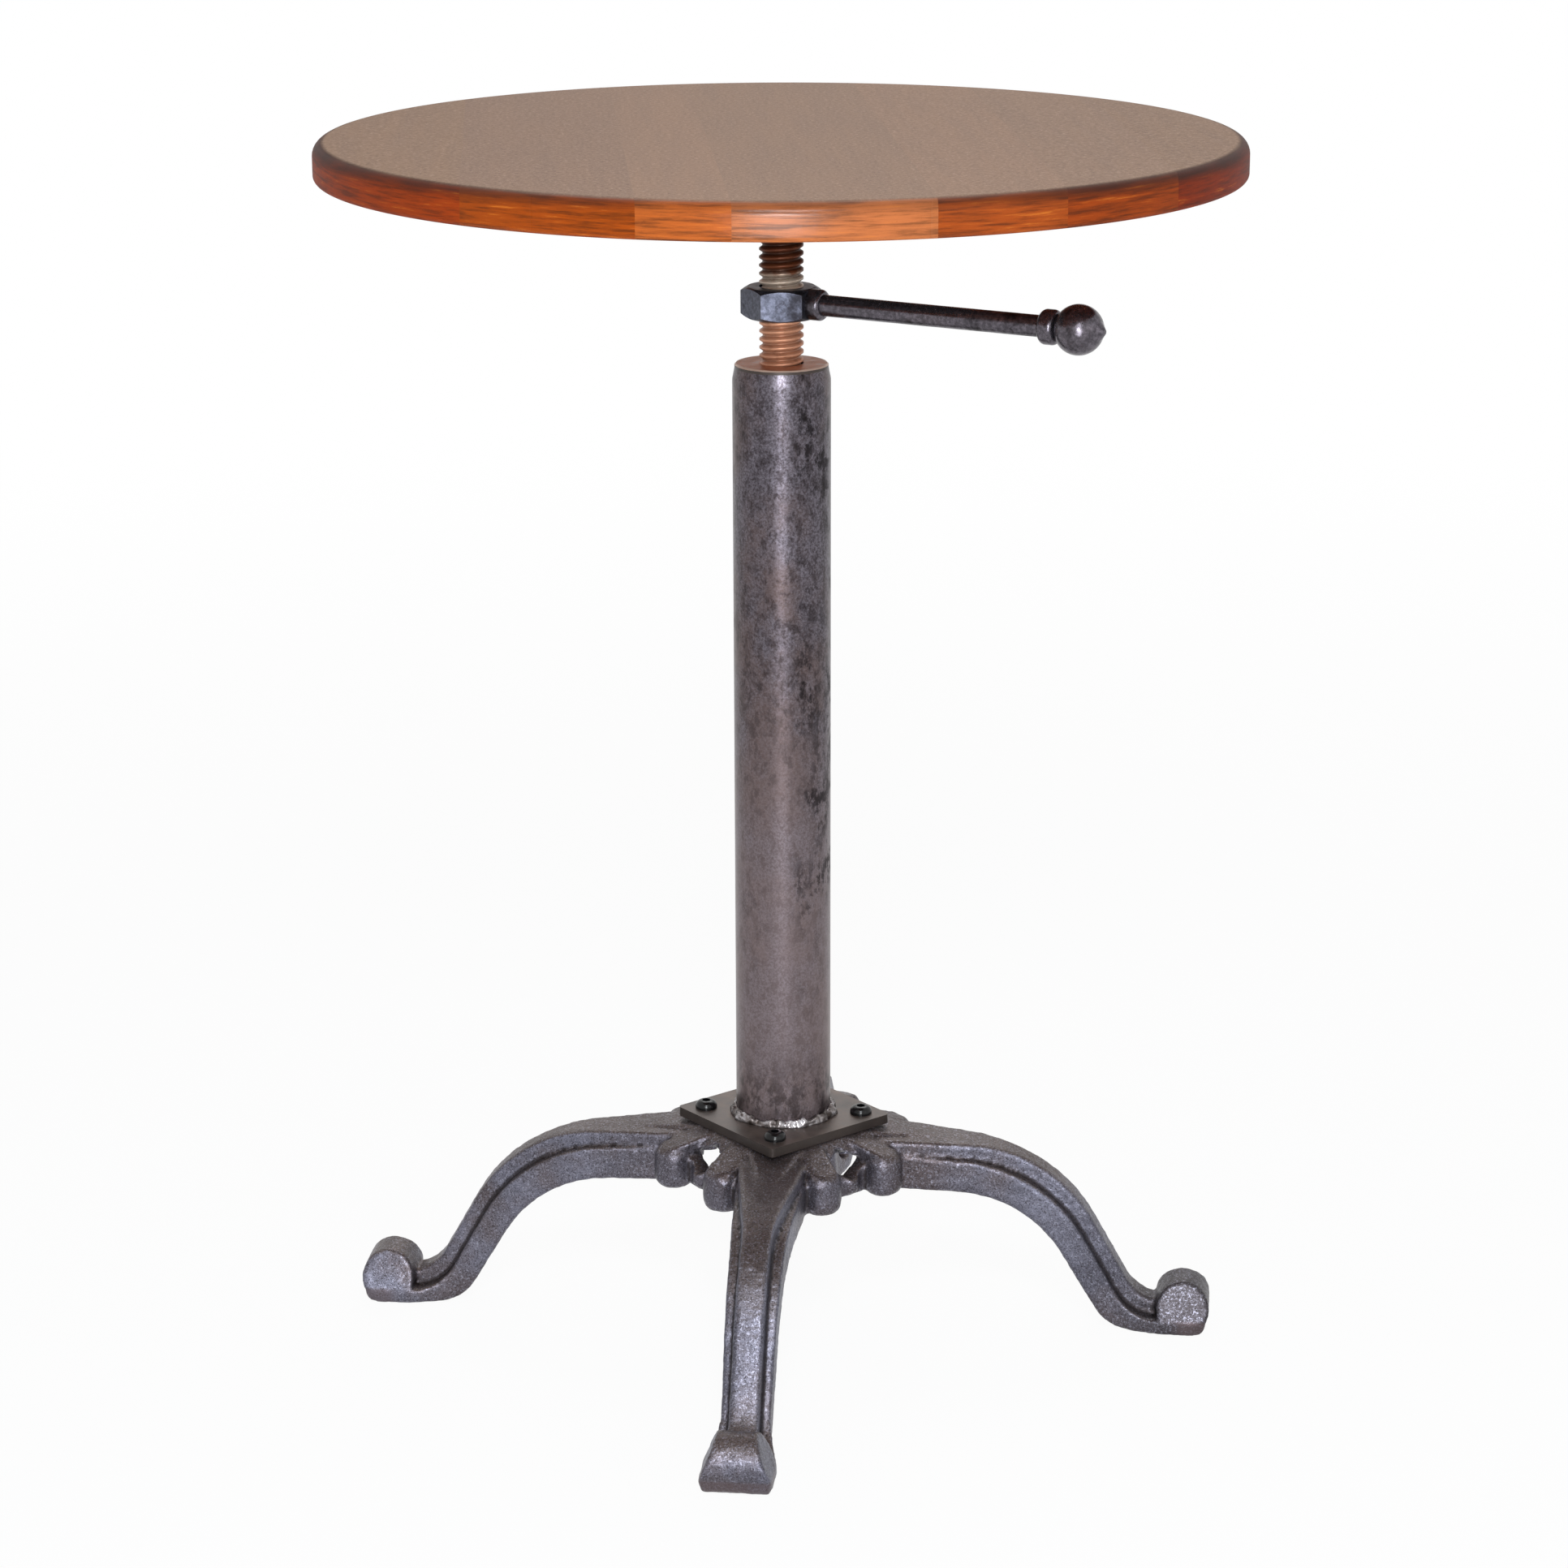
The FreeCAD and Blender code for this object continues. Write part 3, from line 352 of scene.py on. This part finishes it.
def cast_look():
    """Sandy pewter-grey iron: bluish on its sides, and browner on top partly from dust and partly as
    painted shade.

    Painted shade darkens the hub, the creases, thin lines along the edges, and the foot along +X.
    """
    look = Look("cast_iron", Metallic=0.8, Specular_IOR_Level=0.2)
    sand = look.noise(look.place(), 700, 3, 0.75)
    grit = look.noise(look.place(shift=(0.3, 0.1, 0.2)), 1000, 2, 0.8)
    cloud = look.noise(look.place(), 26, 5, 0.6)
    # Up-facing faces browner and a little darker than the bluish sides: partly dust, partly painted
    # shade
    side = look.ramp(cloud, [(0.3, tone(82, 81, 91)), (0.7, tone(114, 114, 128))])
    top = look.ramp(cloud, [(0.3, tone(80, 71, 69)), (0.7, tone(108, 99, 97))])
    colour = look.mix(look.span(look.upward(), 0.35, 0.9), side, top)
    rust = look.span(look.noise(look.place(shift=(0.7, 0.2, 0.5)), 15, 5, 0.6), 0.44, 0.64, 0.0, 0.6)
    colour = look.mix(rust, colour, tone(84, 72, 69))
    # Painted shade: darker and browner near the hub
    hub_shade = look.span(look.reach(), 0.14, 0.07, 0.0, 0.5)
    colour = look.mix(hub_shade, colour, tone(72, 61, 58))
    # Painted shade: the foot along +X is darker than the others
    colour = look.mix(look.span(look.along(), 0.2, 0.25, 0.0, 0.92), colour, tone(66, 62, 65))
    colour = look.mix(look.span(sand, 0.5, 0.68, 0.0, 0.5), colour, tone(162, 162, 178))
    colour = look.mix(look.span(grit, 0.36, 0.5, 0.75, 0.0), colour, tone(40, 35, 36))
    crease = look.attribute("crease")
    # Painted shade: dark in concave creases, and thin dark lines along convex edges
    colour = look.mix(look.span(crease, -0.06, -0.24, 0.0, 0.8), colour, tone(34, 29, 29))
    colour = look.mix(look.span(crease, 0.2, 0.7, 0.0, 0.35), colour, tone(56, 50, 52))
    sole = look.product(look.span(look.height(), 0.0115, 0.0085), look.span(look.reach(), 0.25, 0.262))
    colour = look.mix(look.product(sole, 0.6), colour, tone(92, 79, 80))
    look.bump(look.sum(sand, look.product(grit, 0.6)), 0.0003, 0.5)
    return look.finish(colour, look.span(sand, 0.3, 0.7, 0.48, 0.36))


def bolt_look():
    """Black oxide."""
    look = Look("bolt_black", Specular_IOR_Level=0.3)
    haze = look.noise(look.place(), 260, 4, 0.6)
    colour = look.ramp(haze, [(0.35, tone(5, 5, 6)), (0.7, tone(16, 15, 17))])
    look.bump(haze, 0.0001, 0.3)
    return look.finish(colour, look.span(haze, 0.3, 0.7, 0.18, 0.28))


def inner_look():
    """Plain grey steel of the pieces that are mostly hidden."""
    look = Look("inner_steel", Metallic=0.7)
    haze = look.noise(look.place(), 140, 4, 0.6)
    colour = look.ramp(haze, [(0.3, tone(96, 92, 90)), (0.7, tone(146, 142, 140))])
    look.bump(haze, 0.0001, 0.3)
    return look.finish(colour, look.span(haze, 0.3, 0.7, 0.34, 0.5))


def dress(material, *names):
    """Gives CAD nodes a material in place of their plain one."""
    for name in names:
        mesh = nodes[name].data
        mesh.materials.clear()
        mesh.materials.append(material)


lever_steel = gunmetal_look("lever_steel", (98, 93, 100), (28, 25, 26), 0.24)
weld_steel = weld_look()
inner_steel = inner_look()
bolt_black = bolt_look()
dress(column_look(), "column_tube")
dress(lever_steel, "lever_arm", "lever_collar", "lever_ball", "lever_weld")
dress(gunmetal_look("nut_steel", (80, 82, 94), (38, 36, 40), 0.4), "lock_nut")
dress(bush_look(), "column_bush")
dress(plate_look(), "base_plate", "top_plate")
dress(weld_steel, "screw_weld")
dress(inner_steel, "stop_washer", "stop_bolt")
for number in range(1, 5):
    dress(bolt_black, "base_bolt_%d" % number)
    dress(inner_steel, "wood_screw_%d" % number)


# Pieces that replace plain CAD nodes

def new_piece(name, mesh, material, body, node):
    """An object that rides on a body and stands for a CAD node."""
    mesh.materials.clear()
    mesh.materials.append(material)
    mesh.polygons.foreach_set("use_smooth", [True] * len(mesh.polygons))
    piece = bpy.data.objects.new(name, mesh)
    scene.collection.objects.link(piece)
    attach(piece, body)
    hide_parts(node)


def mesh_of(name, points, faces):
    mesh = bpy.data.meshes.new(name)
    mesh.from_pydata(points, [], faces)
    mesh.validate()
    return mesh


# Table top: each stave is cut from a disc whose upper arris is well rounded and the lower one less

TOP_STEPS = 288
UPPER_ROUND = 0.008
LOWER_ROUND = 0.003
ROUND_PARTS = 8


def arc_points(reach, level, radius, first):
    """A quarter circle in the profile, from the angle first on, about a centre."""
    angles = [math.radians(first + 90 * part / ROUND_PARTS) for part in range(ROUND_PARTS + 1)]
    return [(reach + radius * math.cos(angle), level + radius * math.sin(angle)) for angle in angles]


def make_disc():
    """The whole top: its profile turned about the column's axis."""
    profile = arc_points(top_radius - LOWER_ROUND, top_under + LOWER_ROUND, LOWER_ROUND, -90)
    profile += arc_points(top_radius - UPPER_ROUND, top_face - UPPER_ROUND, UPPER_ROUND, 0)
    points = []
    for reach, level in profile:
        for step in range(TOP_STEPS):
            angle = 2 * math.pi * step / TOP_STEPS
            points.append((reach * math.cos(angle), reach * math.sin(angle), level))
    faces = []
    for ring in range(len(profile) - 1):
        for step in range(TOP_STEPS):
            after = (step + 1) % TOP_STEPS
            start = ring * TOP_STEPS
            above = start + TOP_STEPS
            faces.append((start + step, start + after, above + after, above + step))
    last = len(points) - TOP_STEPS
    faces.append(tuple(range(last, last + TOP_STEPS)))
    faces.append(tuple(range(TOP_STEPS - 1, -1, -1)))
    return mesh_of("top_disc", points, faces)


def make_board(disc, across, left, right):
    """The part of the disc between two glue lines, at distances left and right along across."""
    board = bmesh.new()
    board.from_mesh(disc)
    for place, outward in ((left, -across), (right, across)):
        parts = board.verts[:] + board.edges[:] + board.faces[:]
        cut = bmesh.ops.bisect_plane(
            board, geom=parts, plane_co=across * place, plane_no=outward, clear_outer=True)
        edges = [part for part in cut["geom_cut"] if isinstance(part, bmesh.types.BMEdge)]
        if edges:
            bmesh.ops.contextual_create(board, geom=edges)
    mesh = bpy.data.meshes.new("board")
    board.to_mesh(mesh)
    board.free()
    mesh.set_sharp_from_angle(angle=math.radians(40))
    return mesh


def glue_line(number, across):
    """Where a stave meets the next one: its farthest point along across."""
    vertices = nodes["top_stave_%d" % number].data.vertices
    return max(vertex.co.dot(across) for vertex in vertices)


def make_boards():
    disc = make_disc()
    across = Vector((math.cos(STAVE_TURN), math.sin(STAVE_TURN), 0.0))
    left = -2 * top_radius
    for number in RIM_TONES_WITH_PAINTED_LIGHT:
        right = glue_line(number, across)
        node = "top_stave_%d" % number
        board = make_board(disc, across, left, right)
        new_piece(node + "_board", board, wood_look(number), "top", node)
        left = right


make_boards()


# Lift screw: a right-hand rounded thread over the whole rod, with its tapped lower end

THREAD_PITCH = 0.005
THREAD_DEPTH = 0.0021
THREAD_STEPS = 56
# Share of the pitch and share of the depth, from one crest to the next
THREAD_PROFILE = [(0.0, 0.0), (0.14, 0.0), (0.3, 0.55), (0.42, 0.93),
                  (0.52, 1.0), (0.62, 0.93), (0.74, 0.55), (0.9, 0.0)]
BORE_RADIUS = 0.00605
BORE_DEPTH = 0.025
BORE_END = 0.0001


def make_thread():
    """Rings of points that climb the helix, cut off flat at the rod's two ends."""
    low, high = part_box("lift_screw")
    crest = high.x
    turns = math.ceil((high.z - low.z) / THREAD_PITCH) + 1
    levels = [(turn + share, depth) for turn in range(-1, turns) for share, depth in THREAD_PROFILE]
    points = []
    grooves = []
    for level, depth in levels:
        for step in range(THREAD_STEPS + 1):
            share = step / THREAD_STEPS
            angle = 2 * math.pi * share
            rise = min(max(low.z + (level + share) * THREAD_PITCH, low.z), high.z)
            radius = crest - THREAD_DEPTH * depth
            points.append((radius * math.cos(angle), radius * math.sin(angle), rise))
            grooves.append(depth)
    faces = []
    row = THREAD_STEPS + 1
    for ring in range(len(levels) - 1):
        for step in range(THREAD_STEPS):
            corner = ring * row + step
            faces.append((corner, corner + 1, corner + row + 1, corner + row))
    add_bore(points, grooves, faces, low.z, crest - THREAD_DEPTH)
    mesh = mesh_of("lift_screw_thread", points, faces)
    groove = mesh.attributes.new("groove", "FLOAT", "POINT")
    groove.data.foreach_set("value", grooves)
    return mesh


def add_bore(points, grooves, faces, bottom, outer):
    """The rod's lower face with its tapped hole for the stop bolt."""
    first = len(points)
    profile = ((outer, 0.0), (BORE_RADIUS, 0.0), (BORE_RADIUS, BORE_DEPTH), (BORE_END, BORE_DEPTH))
    for radius, rise in profile:
        for step in range(THREAD_STEPS):
            angle = 2 * math.pi * step / THREAD_STEPS
            points.append((radius * math.cos(angle), radius * math.sin(angle), bottom + rise))
            grooves.append(0.5)
    for ring in range(len(profile) - 1):
        for step in range(THREAD_STEPS):
            after = (step + 1) % THREAD_STEPS
            start = first + ring * THREAD_STEPS
            above = start + THREAD_STEPS
            faces.append((start + step, above + step, above + after, start + after))


new_piece("lift_screw_thread", make_thread(), screw_look(), "top", "lift_screw")


# Column weld: a lumpy hand-laid bead round the foot of the pipe

BEAD_INNER = 0.03018
BEAD_STEPS = 260
BEAD_ARC = 9


def make_bead():
    """Sections round the pipe: an inner corner, and a quarter arc of uneven size."""
    low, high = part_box("column_weld")
    outer = high.x
    points = []
    for step in range(BEAD_STEPS):
        angle = 2 * math.pi * step / BEAD_STEPS
        around = Vector((math.cos(angle), math.sin(angle), 0.0))
        swell = 0.85 + 0.6 * noise.noise(around * 4.0)
        ripple = 0.16 * abs(math.sin(angle * 9 + 5.0 * noise.noise(around * 5.0)))
        size = swell + ripple
        points.append(tuple(around * BEAD_INNER + Vector((0, 0, low.z))))
        for part in range(BEAD_ARC):
            lean = 0.5 * math.pi * part / (BEAD_ARC - 1)
            lump = size + 0.26 * noise.noise(around * 9.0 + Vector((0, 0, 2.0 * lean)))
            out = (outer - BEAD_INNER) * lump * math.cos(lean)
            rise = (high.z - low.z) * lump * math.sin(lean)
            points.append(tuple(around * (BEAD_INNER + out) + Vector((0, 0, low.z + rise))))
    row = BEAD_ARC + 1
    faces = []
    for step in range(BEAD_STEPS):
        here = step * row
        there = ((step + 1) % BEAD_STEPS) * row
        for part in range(row):
            after = (part + 1) % row
            faces.append((here + part, there + part, there + after, here + after))
    return mesh_of("column_weld_bead", points, faces)


new_piece("column_weld_bead", make_bead(), weld_steel, "base", "column_weld")


# Leg spider: the CAD solid softened as a sand casting is, with an uneven skin

CAST_VOXEL = 0.0013
CAST_SMOOTHING = 7
CREASE_UNIT = 0.001
WELD_DISTANCE = 0.00001
# Height of the skin's lumps, and how many there are to a metre
COARSE_LUMPS = (0.00026, 150.0)
FINE_LUMPS = (0.0002, 400.0)


def modified(mesh, kind, **settings):
    """A new mesh: the given one after one modifier."""
    holder = bpy.data.objects.new("holder", mesh)
    scene.collection.objects.link(holder)
    modifier = holder.modifiers.new("change", kind)
    for name, choice in settings.items():
        setattr(modifier, name, choice)
    shaped = holder.evaluated_get(bpy.context.evaluated_depsgraph_get())
    result = bpy.data.meshes.new_from_object(shaped)
    bpy.data.objects.remove(holder)
    return result


def skin_lump(spot, size, density):
    return size * noise.noise(spot * density)


def make_casting():
    """The softened solid; its crease attribute tells how far smoothing moved each point."""
    closed = bmesh.new()
    closed.from_mesh(nodes["leg_spider"].data)
    bmesh.ops.remove_doubles(closed, verts=closed.verts, dist=WELD_DISTANCE)
    welded = bpy.data.meshes.new("leg_spider_closed")
    closed.to_mesh(welded)
    closed.free()
    sharp = modified(welded, "REMESH", mode="VOXEL", voxel_size=CAST_VOXEL)
    soft = modified(sharp, "SMOOTH", factor=0.5, iterations=CAST_SMOOTHING)
    creases = []
    for before, after in zip(sharp.vertices, soft.vertices):
        creases.append((before.co - after.co).dot(after.normal) / CREASE_UNIT)
    moved = []
    for vertex in soft.vertices:
        lumps = skin_lump(vertex.co, *COARSE_LUMPS) + skin_lump(vertex.co, *FINE_LUMPS)
        place = vertex.co + vertex.normal * lumps
        moved.extend((place.x, place.y, max(place.z, 0.0)))
    soft.vertices.foreach_set("co", moved)
    crease = soft.attributes.new("crease", "FLOAT", "POINT")
    crease.data.foreach_set("value", creases)
    soft.update()
    return soft


new_piece("leg_spider_casting", make_casting(), cast_look(), "base", "leg_spider")


# Stage: white floor and background, a tall soft key and a small flash near the camera, and weak
# lights at the side, above and behind

FLOOR_REACH = 18.0
FLOOR_SIDES = 64
# The floor keeps the object's shadow nearby, and farther out it is as white as the background
FLOOR_FADE = (0.8, 3.0)
FLOOR_GLOW = (0.94, 1.0)
WORLD_LIGHT = 0.22
WORLD_SEEN = 1.0


def background_share(tree):
    """1 for rays that should see the background as plain white, and 0 for light that it gives."""
    path = tree.node("ShaderNodeLightPath", {})
    seen = tree.sum(path.outputs["Is Camera Ray"], path.outputs["Is Glossy Ray"])
    return tree.calculate("ADD", seen, path.outputs["Is Transmission Ray"], use_clamp=True)


def make_floor():
    rim = []
    for step in range(FLOOR_SIDES):
        angle = 2 * math.pi * step / FLOOR_SIDES
        rim.append((FLOOR_REACH * math.cos(angle), FLOOR_REACH * math.sin(angle), 0.0))
    mesh = mesh_of("floor", rim, [tuple(range(FLOOR_SIDES))])
    look = Look("floor_white", Roughness=0.9)
    colour = look.mix(look.noise(look.place(), 3, 2), (0.86, 0.86, 0.86, 1), (0.9, 0.9, 0.9, 1))
    look.feed(look.shader.inputs["Base Color"], colour)
    glow = look.node("ShaderNodeEmission", {"Color": (1, 1, 1, 1), "Strength": 1.0})
    glow_share = look.span(look.reach(), *FLOOR_FADE, *FLOOR_GLOW)
    share = look.product(background_share(look), glow_share)
    both = look.node("ShaderNodeMixShader", {
        0: share, 1: look.shader.outputs["BSDF"], 2: glow.outputs["Emission"]})
    look.feed(look.tree.nodes["Material Output"].inputs["Surface"], both.outputs["Shader"])
    mesh.materials.append(look.material)
    floor = bpy.data.objects.new("floor", mesh)
    scene.collection.objects.link(floor)


def make_world():
    world = bpy.data.worlds.new("studio")
    world.use_nodes = True
    scene.world = world
    tree = Tree(world.node_tree)
    strength = tree.node("ShaderNodeMapRange", {
        "Value": background_share(tree), "To Min": WORLD_LIGHT, "To Max": WORLD_SEEN})
    background = world.node_tree.nodes["Background"]
    background.inputs["Color"].default_value = (1, 1, 1, 1)
    tree.feed(background.inputs["Strength"], strength.outputs["Result"])


def add_light(name, place, target, width, height, power, colour=(1, 1, 1)):
    """A rectangle of light that faces the target and isn't seen by the camera."""
    lamp = bpy.data.lights.new(name, "AREA")
    lamp.shape = "RECTANGLE"
    lamp.size = width
    lamp.size_y = height
    lamp.energy = power
    lamp.color = colour
    light = bpy.data.objects.new(name, lamp)
    light.location = place
    light.rotation_euler = (Vector(target) - Vector(place)).to_track_quat("-Z", "Y").to_euler()
    light.visible_camera = False
    scene.collection.objects.link(light)


# The camera as fitted to the photograph: angles in degrees, lens and sensor in millimetres
CAMERA_PLACE = (0.25472, -2.36, 1.0638)
CAMERA_DOWN = 16.595
CAMERA_TURN = 6.139
CAMERA_ROLL = -0.14
CAMERA_LENS = 90.549
CAMERA_SENSOR = 36.0


def add_camera():
    camera = bpy.data.objects.new("camera", bpy.data.cameras.new("camera"))
    camera.data.lens = CAMERA_LENS
    camera.data.sensor_width = CAMERA_SENSOR
    camera.location = CAMERA_PLACE
    camera.rotation_euler = (math.radians(90 - CAMERA_DOWN), 0.0, math.radians(CAMERA_TURN))
    camera.rotation_euler.rotate_axis("Z", math.radians(CAMERA_ROLL))
    scene.collection.objects.link(camera)
    scene.camera = camera


make_floor()
make_world()
cool = (0.92, 0.96, 1.0)
add_light("key", (0.25, -2.5, 0.75), (0, 0, 0.5), 0.6, 1.3, 37, cool)
add_light("fill", (2.0, -1.4, 1.2), (0, 0, 0.4), 1.4, 1.4, 3)
add_light("front_high", (0.25, -1.9, 2.0), (0, 0, 0.2), 0.5, 0.5, 20, (0.9, 0.95, 1.0))
add_light("flash", (0.25, -2.3, 1.1), (0, 0, 0.5), 0.15, 0.15, 13, cool)
add_light("overhead", (0.0, 0.4, 2.6), (0, 0, 0.7), 1.6, 1.6, 7.5)
add_light("back", (0.0, 2.1, 2.1), (0, 0, 0.4), 1.4, 1.0, 12)
add_camera()
scene.view_settings.view_transform = "Standard"
